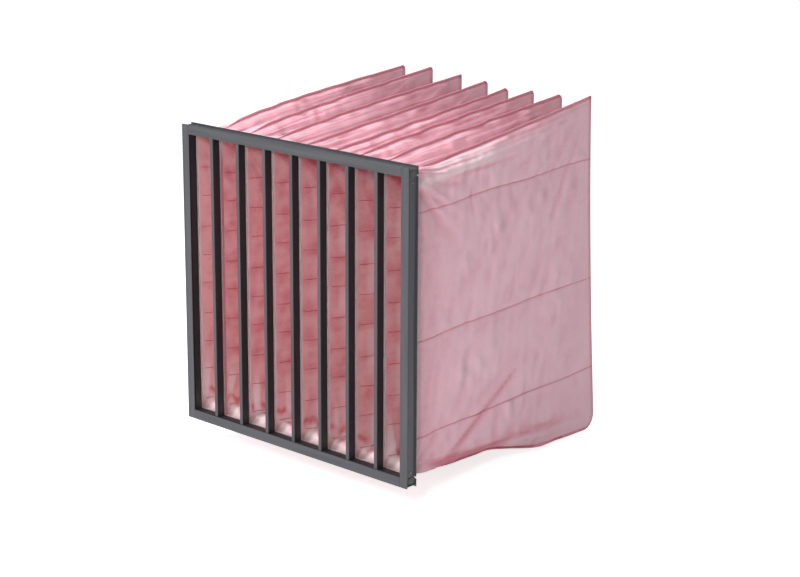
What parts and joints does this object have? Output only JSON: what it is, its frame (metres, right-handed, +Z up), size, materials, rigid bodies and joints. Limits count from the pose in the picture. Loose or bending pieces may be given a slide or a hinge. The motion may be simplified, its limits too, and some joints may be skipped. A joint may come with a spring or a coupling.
{
  "type": "bag air filter",
  "caption": "Bag air filter: square grey channel header with divider bars, black mouth retainers and a row of wedge-shaped pink fabric pockets sewn shut at the rear.",
  "frame": {"origin": "centre of the header's front face, in the plane of its front flanges", "axes": "+Y with the airflow, from the header to the pockets' rear seams; +Z up; +X to the right seen from the front"},
  "size_m": [0.592, 0.6167, 0.685],
  "materials": {
    "header_plastic": "matte grey moulded plastic",
    "key_plastic": "matte light grey moulded plastic",
    "retainer_plastic": "matte black moulded plastic",
    "pocket_fabric": "pink nonwoven filter fabric, with darker sewn seams",
    "rivet_metal": "dull aluminium rivet"
  },
  "bodies": {
    "root": {"top_rail": "header_plastic", "bottom_rail": "header_plastic", "right_stile": "header_plastic", "left_stile": "header_plastic", "corner_key_top_right": "key_plastic", "rivet_stile_top_right": "rivet_metal", "rivet_rail_top_right": "rivet_metal", "corner_key_top_left": "key_plastic", "rivet_stile_top_left": "rivet_metal", "rivet_rail_top_left": "rivet_metal", "corner_key_bottom_right": "key_plastic", "rivet_stile_bottom_right": "rivet_metal", "rivet_rail_bottom_right": "rivet_metal", "corner_key_bottom_left": "key_plastic", "rivet_stile_bottom_left": "rivet_metal", "rivet_rail_bottom_left": "rivet_metal", "divider_bar_1": "header_plastic", "divider_bar_2": "header_plastic", "divider_bar_3": "header_plastic", "divider_bar_4": "header_plastic", "divider_bar_5": "header_plastic", "divider_bar_6": "header_plastic", "divider_bar_7": "header_plastic", "pocket_retainer_1": "retainer_plastic", "pocket_1": "pocket_fabric", "pocket_retainer_2": "retainer_plastic", "pocket_2": "pocket_fabric", "pocket_retainer_3": "retainer_plastic", "pocket_3": "pocket_fabric", "pocket_retainer_4": "retainer_plastic", "pocket_4": "pocket_fabric", "pocket_retainer_5": "retainer_plastic", "pocket_5": "pocket_fabric", "pocket_retainer_6": "retainer_plastic", "pocket_6": "pocket_fabric", "pocket_retainer_7": "retainer_plastic", "pocket_7": "pocket_fabric", "pocket_retainer_8": "retainer_plastic", "pocket_8": "pocket_fabric"}
  },
  "joints": []
}
